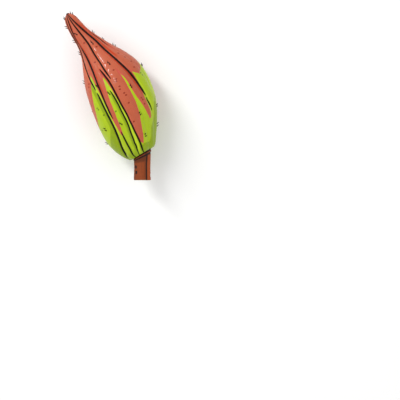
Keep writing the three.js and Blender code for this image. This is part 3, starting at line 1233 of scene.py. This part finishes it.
@dataclass(frozen=True)
class Bristles:
    """Short, stiff bristles in pairs, each on a small dark bulb."""

    form: PodForm
    finish: BristleFinish = BristleFinish()
    places: tuple[tuple[float, float], ...] = (
        (1.5, 85), (2.5, -85), (9, -88), (17, -27), (21, -90), (22, 90), (29, 9), (31, -90), (38, 88),
        (49, 8), (52, -90), (60, -35), (61, 88), (65, 37), (69, -17), (72, 24), (91, -54), (93, 23),
        (93, -17), (93, 86), (100, -88), (106, 88), (109, 27),
    )
    belly_pairs: int = 48
    belly_angles: tuple[float, float] = (105, 255)
    golden_angle: float = 137.508
    gap: float = 1.7
    length: float = 1.9
    root: float = 0.4
    radius: float = 0.46
    bulb_radius: float = 0.58
    tip_share: float = 0.25
    bulb_squash: float = 0.6
    bulb_rings: int = 4
    slants: tuple[float, float] = (0.15, 0.35)
    lean: float = 0.7
    first_station: float = 0.6
    beak_room: float = 4.0
    clearance: float = 1.2
    sides: int = 8
    seed: int = 20

    def draws(self) -> Iterator[float]:
        """Draws numbers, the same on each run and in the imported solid.

        Yields:
            Numbers from 0 to 1.
        """
        state = self.seed
        while True:
            state = (state * DRAW_FACTOR + DRAW_STEP) % DRAW_RANGE
            yield state / DRAW_RANGE

    def belly_places(self) -> list[tuple[float, float]]:
        """Places for pairs on the belly, spread by the area of the skin and the golden angle.

        Returns:
            A station and an angle for each.
        """
        area = [0.0]
        for station in range(1, int(self.places[-1][0])):
            area.append(area[-1] + self.form.radius_at(station) + self.beak_room)
        places = []
        for pair in range(self.belly_pairs):
            below = (pair + 0.5) / self.belly_pairs * area[-1]
            angle = pair * self.golden_angle % 360
            if self.belly_angles[0] < angle < self.belly_angles[1]:
                places.append((next(i for i, total in enumerate(area) if total > below), angle))
        return places

    def stands(self) -> Iterator[tuple[Vector, Vector]]:
        """Where the bristles stand.

        Yields:
            The foot of each bristle and the way that it points.
        """
        draws = self.draws()
        for station, angle in [*self.places, *self.belly_places()]:
            slant = (self.slants[0] + self.slants[1] * next(draws)) * math.pi
            across = math.degrees(self.gap * math.cos(slant) / self.form.radius_at(station))
            along = self.gap * math.sin(slant)
            for side in (-0.5, 0.5):
                at = angle + side * across, max(self.first_station, station + side * along)
                foot = self.form.point(*at)
                ahead = (self.form.point(at[0], at[1] + 1) - foot).normalized()
                direction = (self.form.normal(*at) - self.lean * ahead).normalized()
                if min(foot.z, foot.z + direction.z * self.length) > self.clearance:
                    yield foot, direction

    def build(self) -> bpy.types.Object:
        """Builds and dresses the bristles.

        Returns:
            The piece.
        """
        bm = bmesh.new()
        up = bm.verts.layers.float.new("up")
        for foot, direction in self.stands():
            self.add_bristle(bm, up, foot, direction)
        bmesh.ops.recalc_face_normals(bm, faces=bm.faces)
        return finished(bm, "bristles", self.finish.material(), Slot.SKIN)

    def add_bristle(
        self, bm: bmesh.types.BMesh, up: bmesh.types.BMLayerItem, foot: Vector, direction: Vector
    ) -> None:
        """Adds one bristle on its bulb.

        Args:
            bm: The bmesh to add to.
            up: The layer for how far up its bristle a point is.
            foot: Where it stands.
            direction: The way it points.
        """
        stand = aimed(foot + direction * (self.length - self.root) / 2, direction)
        spine = bmesh.ops.create_cone(
            bm, cap_ends=True, segments=self.sides, radius1=self.radius,
            radius2=self.radius * self.tip_share, depth=self.length + self.root, matrix=stand,
        )
        for vert in spine["verts"]:
            vert[up] = float((vert.co - foot).dot(direction) > self.length / 2)
        squat = Matrix.Diagonal((1.0, 1.0, self.bulb_squash, 1.0))
        bmesh.ops.create_uvsphere(
            bm, u_segments=self.sides, v_segments=self.bulb_rings, radius=self.bulb_radius,
            matrix=aimed(foot, direction) @ squat,
        )


@dataclass(frozen=True)
class Down:
    """The fine hairs that make the skin look soft at its edge."""

    form: PodForm
    finish: DownFinish = DownFinish()
    density: float = 0.36
    step: float = 0.5
    length: tuple[float, float] = (0.35, 0.8)
    radius: float = 0.022
    tip_share: float = 0.2
    middle_share: float = 0.45
    lean: float = 0.6
    sway: tuple[float, float] = (-0.5, 0.5)
    sway_shares: tuple[float, float] = (0.4, 1)
    clearance: float = 1.0
    stations: tuple[float, float] = (2.0, 117.0)
    seed: int = 11

    def tuft(self, station: float, draw: random.Random) -> Iterator[tuple[Vector, Vector, float]]:
        """The hairs on one narrow band of the skin.

        Args:
            station: Where the band is.
            draw: The source of chance.

        Yields:
            The foot of each hair, the way it points and its length.
        """
        here, ahead = self.form.section(station), self.form.section(station + 1)
        area = math.tau * (here.radius + 1) * self.step
        count = round(self.density * area + draw.uniform(-0.5, 0.5))
        angles = np.array([draw.uniform(0, 360) for _ in range(count)])
        feet = self.form.ring(here, angles)
        along = self.form.ring(ahead, angles) - feet
        normals = np.cross(along, self.form.ring(here, angles + 3) - feet)
        for foot, normal in zip(feet, normals):
            stray = Vector((-self.lean, draw.uniform(*self.sway), draw.uniform(*self.sway)))
            stray *= draw.uniform(*self.sway_shares)
            direction = (Vector(normal).normalized() + stray).normalized()
            length = draw.uniform(*self.length)
            if min(foot[2], foot[2] + direction.z * length) > self.clearance:
                yield Vector(foot), direction, length

    def build(self) -> bpy.types.Object:
        """Builds and dresses the down, one band after another.

        Returns:
            The piece.
        """
        draw = random.Random(self.seed)
        bm = bmesh.new()
        for station in np.arange(*self.stations, self.step):
            band = bmesh.new()
            for foot, direction, length in self.tuft(float(station), draw):
                middle = foot + direction * length * self.middle_share
                bmesh.ops.create_cone(
                    band, cap_ends=False, segments=3, radius1=self.radius,
                    radius2=self.radius * self.tip_share, depth=length, matrix=aimed(middle, direction),
                )
            grown = bpy.data.meshes.new("band")
            band.to_mesh(grown)
            band.free()
            bm.from_mesh(grown)
            bpy.data.meshes.remove(grown)
        return finished(bm, "down", self.finish.material(), Slot.SKIN)


@dataclass(frozen=True)
class StyleScar:
    """The small dried knob at the tip of the beak."""

    form: PodForm
    finish: ScarFinish = ScarFinish()
    radius: float = 1.25
    height: float = 0.7
    wrinkles: float = 0.22
    wrinkle_rate: float = 2.3
    sunk: float = 0.15
    heading: tuple[float, float, float] = (-1, 0.05, -0.05)
    steps: tuple[int, int] = (24, 16)

    def build(self) -> bpy.types.Object:
        """Builds and dresses the scar.

        Returns:
            The piece.
        """
        bm = bmesh.new()
        bmesh.ops.create_uvsphere(bm, u_segments=self.steps[0], v_segments=self.steps[1], radius=1.0)
        for vert in bm.verts:
            vert.co *= 1 + self.wrinkles * noise.noise(vert.co * self.wrinkle_rate)
        tip = self.form.point(0, 0)
        seat = aimed(tip + Vector((self.sunk, 0, 0)), Vector(self.heading))
        shape = Matrix.Diagonal((self.radius, self.radius, self.height, 1.0))
        bmesh.ops.transform(bm, matrix=seat @ shape, verts=bm.verts)
        return finished(bm, "style_scar", self.finish.material(), Slot.SKIN)


@dataclass(frozen=True)
class Stalk:
    """The stub of stalk with the flared collar that the flower's leaves left."""

    form: PodForm
    finish: BarkFinish = BarkFinish()
    joint_gap: float = 0.3
    length: float = 21.0
    bend: float = 28.4
    bend_over: float = 11.0
    rise: float = 2.0
    ribs: int = 5
    rib_height: float = 0.25
    ribbed_from: tuple[float, float] = (3, 8)
    notches: int = 11
    notch_depth: float = 0.18
    sunk: float = 0.3
    full_radius: float = 5.0
    grain_radius: float = 6.0
    columns: int = 144
    rows: int = 130
    profile: tuple[tuple[float, float], ...] = (
        (0, 0), (0, 7.1), (0.5, 7.7), (2.4, 7.7), (3.1, 7.2), (4.2, 6.85), (6, 6.4), (8.5, 6.1), (12, 6.0),
        (16, 6.1), (20.6, 6.3), (21, 5.9), (21, 0),
    )
    collar_end: float = 2.75
    collar_line: float = 3.5
    collar_line_tilt: float = 0.35
    foot_line: float = 2.0
    collar_line_half: float = 0.62
    # Painted shade below the collar, down the left side and beside the crease, and a painted highlight strip
    # right of the crease.
    shaded_to: float = 8.2
    crease_angle: float = 35.0
    crease_half_width: float = 0.56
    crease_start: float = 3.2
    collar_shade_fade: float = 1.6
    left_shade: float = 0.35
    left_shaded: tuple[float, float] = (20, 70)
    crease_shade: float = 0.9
    crease_shaded: tuple[float, float] = (-26, -4)
    lit_rise: tuple[float, float] = (3, 12)
    lit_end: float = 50.0
    lit_fade: float = 12.0
    lit_from: float = 3.0
    cut_radius: float = 5.9
    cut_edge: float = 0.05
    bark_spots: tuple[tuple[float, float], ...] = (
        (11.1, -54), (15.2, -49), (8.5, 100), (17.5, 84), (13, 150), (7.5, 205), (16.5, 230), (11.5, -105),
    )
    spot_radius: float = 1.05
    spot_squash: tuple[float, float] = (1.1, 0.8)
    layers: tuple[str, ...] = ("crease", "shade", "light", "cut", "out")

    def path(self) -> list[tuple[float, float]]:
        """The outline of the stalk in even steps, from the middle of its foot to that of its cut end.

        Returns:
            How far along the stalk and its radius, at each end of a step.
        """
        points = np.array(self.profile)
        travelled = np.concatenate([[0], np.cumsum(np.hypot(*np.diff(points, axis=0).T))])
        even = np.linspace(0, travelled[-1], self.rows + 1)
        return list(zip(np.interp(even, travelled, points[:, 0]), np.interp(even, travelled, points[:, 1])))

    def place(self, angle: float, along: float, reach: float) -> Vector:
        """A point of the stalk.

        Args:
            angle: Where round it.
            along: How far from the foot.
            reach: How far from its middle line.

        Returns:
            The point, from the middle of the flat spot.
        """
        bend = math.radians(self.bend)
        heading = Vector((math.cos(bend), -math.sin(bend), math.tan(math.radians(self.rise))))
        foot = self.form.middle(self.form.dimple_station) - self.form.resting_point
        lean = math.atan(self.form.foot_lean)
        turn = lean + (-bend - lean) * float(smoothstep(along, 0, self.bend_over))
        side = reach * math.sin(math.radians(angle))
        point = foot + heading * along
        point.x += self.joint_gap - side * math.sin(turn)
        point.y += side * math.cos(turn)
        point.z += reach * math.cos(math.radians(angle))
        return point

    def marks(self, angle: float, along: float, radius: float) -> dict[str, float]:
        """The layers of a point.

        Args:
            angle: Where round the stalk.
            along: How far from the foot.
            radius: The outline's radius there.

        Returns:
            The value of each layer by its name.
        """
        beside = wrapped(angle - self.crease_angle)
        past_collar = along - self.collar_line + self.collar_line_tilt * math.sin(math.radians(angle))
        # Dark lines of painted shade: the crease, the line round the collar and the line at the foot; the
        # dark spots are the bark's own marks.
        lines = [
            self.crease_half_width - abs(math.radians(beside) * radius) - max(self.crease_start - along, 0.0),
            self.collar_line_half - abs(past_collar),
            self.foot_line - along,
            *(self.spot(angle, along, radius, spot) for spot in self.bark_spots),
        ]
        # Painted shade: below the collar, down the left side and beside the crease.
        shades = [
            float(smoothstep(self.shaded_to - along, 0, self.collar_shade_fade)) * (past_collar > 0),
            self.left_shade * float(smoothstep(-angle, *self.left_shaded)),
            self.crease_shade * float(smoothstep(beside, *self.crease_shaded)) * (beside < 0),
        ]
        # Painted highlight: a lighter strip to the right of the crease.
        lit = smoothstep(beside, *self.lit_rise) * smoothstep(self.lit_end - beside, 0, self.lit_fade)
        cut = along > self.length - self.cut_edge
        return {
            "crease": -1.0 if cut else max(lines),
            "shade": max(shades),
            "light": float(lit * (along > self.lit_from)),
            "cut": float(cut),
            "out": radius / self.cut_radius if cut else 0.0,
        }

    def spot(self, angle: float, along: float, radius: float, spot: tuple[float, float]) -> float:
        """How far a point is inside a dark spot of the bark.

        Args:
            angle: Where round the stalk.
            along: How far from the foot.
            radius: The outline's radius there.
            spot: The spot, as how far from the foot it is and its angle.

        Returns:
            The distance to its edge in millimetres, below 0 outside.
        """
        across = math.radians(wrapped(angle - spot[1])) * radius
        away = math.hypot(across * self.spot_squash[0], (along - spot[0]) * self.spot_squash[1])
        return self.spot_radius - away

    def relief(self, angle: float, along: float, crease: float) -> float:
        """How far a point of the bark stands out: ribs, the notched collar and sunk lines.

        Args:
            angle: Where round the stalk.
            along: How far from the foot.
            crease: How far the point is inside a dark line.

        Returns:
            The height in millimetres.
        """
        ribbed = float(smoothstep(along, *self.ribbed_from)) * self.rib_height
        ribbed *= math.cos(math.radians(self.ribs * angle))
        sunk = self.sunk * float(smoothstep(crease, -self.sunk, self.sunk))
        notched = self.notch_depth * math.sin(math.radians(self.notches * angle)) * (along < self.collar_end)
        return ribbed + notched - sunk

    def build(self) -> bpy.types.Object:
        """Builds and dresses the stalk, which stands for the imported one.

        Returns:
            The piece.
        """
        path = self.path()
        sleeve = Sleeve(self.columns, self.rows, self.layers)
        for vert, column, row in sleeve.points():
            along, radius = path[row]
            angle = wrapped(column * 360.0 / self.columns)
            marks = self.marks(angle, along, radius)
            relief = self.relief(angle, along, marks["crease"]) * min(radius / self.full_radius, 1.0)
            vert.co = self.place(angle, along, max(radius + relief, 0.0) if radius > 0 else 0.0)
            across = math.radians(angle)
            grain = self.grain_radius * math.cos(across), self.grain_radius * math.sin(across)
            vert[sleeve.grain] = (along, *grain)
            for name, layer in sleeve.layers.items():
                vert[layer] = marks[name]
        piece = finished(sleeve.sew(), "stalk_stub", self.finish.material(), Slot.BARK)
        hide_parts("stalk")
        return piece


@dataclass(frozen=True)
class Lamp:
    """A rectangular soft light that hangs over the pod and shines at it."""

    name: str
    direction: tuple[float, float, float]
    distance: float
    size: tuple[float, float]
    power: float

    def hang(self, target: Vector) -> None:
        """Hangs the light.

        Args:
            target: What it shines at, in metres.
        """
        light = bpy.data.lights.new(self.name, "AREA")
        light.shape = "RECTANGLE"
        light.size, light.size_y = self.size
        light.energy = self.power
        lamp = bpy.data.objects.new(self.name, light)
        away = Vector(self.direction).normalized()
        lamp.location = target + away * self.distance
        lamp.rotation_euler = away.to_track_quat("Z", "Y").to_euler()
        bpy.context.scene.collection.objects.link(lamp)


@dataclass(frozen=True)
class Studio:
    """A white board with soft light, seen from straight above."""

    finish: FloorFinish = FloorFinish()
    floor_size: float = 3.0
    floor_steps: int = 8
    floor_drop: float = 0.05
    world_strength: float = 0.8
    lens: float = 250.0
    sensor: float = 36.0
    view_width: float = 301.0
    view_centre: tuple[float, float] = (95.8, 15.3)
    view_height: float = 24.0
    view_end: float = 10.0
    view_turn: float = 61.6
    target: tuple[float, float, float] = (-10.0, 0.0, 30.0)
    lamps: tuple[Lamp, ...] = field(default_factory=lambda: (
        Lamp("key", (-0.5, -0.45, 0.75), 1.1, (0.6, 0.6), 0.8),
        Lamp("streak", (-0.67, -0.2, 0.72), 0.8, (0.12, 0.66), 3.4),
        Lamp("fill", (0.75, 0.3, 0.6), 1.3, (1.2, 1.2), 2.2),
    ))

    def build_floor(self) -> None:
        """Lays the white board under the pod."""
        bm = bmesh.new()
        steps = self.floor_steps
        bmesh.ops.create_grid(bm, x_segments=steps, y_segments=steps, size=self.floor_size / 2)
        bmesh.ops.translate(bm, vec=Vector((0, 0, -self.floor_drop * MM)), verts=bm.verts)
        mesh = bpy.data.meshes.new("floor")
        bm.to_mesh(mesh)
        bm.free()
        mesh.materials.append(self.finish.material())
        floor = bpy.data.objects.new("floor", mesh)
        bpy.context.scene.collection.objects.link(floor)

    def build_light(self) -> None:
        """Sets the even light of the room and hangs the lamps."""
        world = bpy.data.worlds.new("room")
        world.use_nodes = True
        background = world.node_tree.nodes["Background"]
        background.inputs["Color"].default_value = (1.0, 1.0, 1.0, 1.0)
        background.inputs["Strength"].default_value = self.world_strength
        bpy.context.scene.world = world
        bpy.context.scene.view_settings.view_transform = "Standard"
        for lamp in self.lamps:
            lamp.hang(Vector(self.target) * MM)

    def build_camera(self) -> None:
        """Hangs the camera above the board, looking straight down."""
        camera = bpy.data.cameras.new("camera")
        camera.lens, camera.sensor_width = self.lens, self.sensor
        camera.clip_end = self.view_end
        distance = self.view_width * self.lens / self.sensor
        holder = bpy.data.objects.new("camera", camera)
        holder.location = Vector((*self.view_centre, self.view_height + distance)) * MM
        holder.rotation_euler = (0.0, 0.0, math.radians(self.view_turn))
        bpy.context.scene.collection.objects.link(holder)
        bpy.context.scene.camera = holder

    def build(self) -> None:
        """Builds the studio."""
        self.build_camera()
        self.build_floor()
        self.build_light()
        log.info("studio: floor, camera and %d lamps", len(self.lamps))


def main() -> None:
    """Builds the studio and the pod, piece by piece."""
    logging.basicConfig(level=logging.INFO, format="%(name)s: %(message)s")
    Studio().build()
    form = PodForm()
    for part in (Skin(form), Bristles(form), Down(form), StyleScar(form), Stalk(form)):
        piece = part.build()
        log.info("%s rides on %s", piece.name, BODY)


if __name__ == "__main__":
    main()
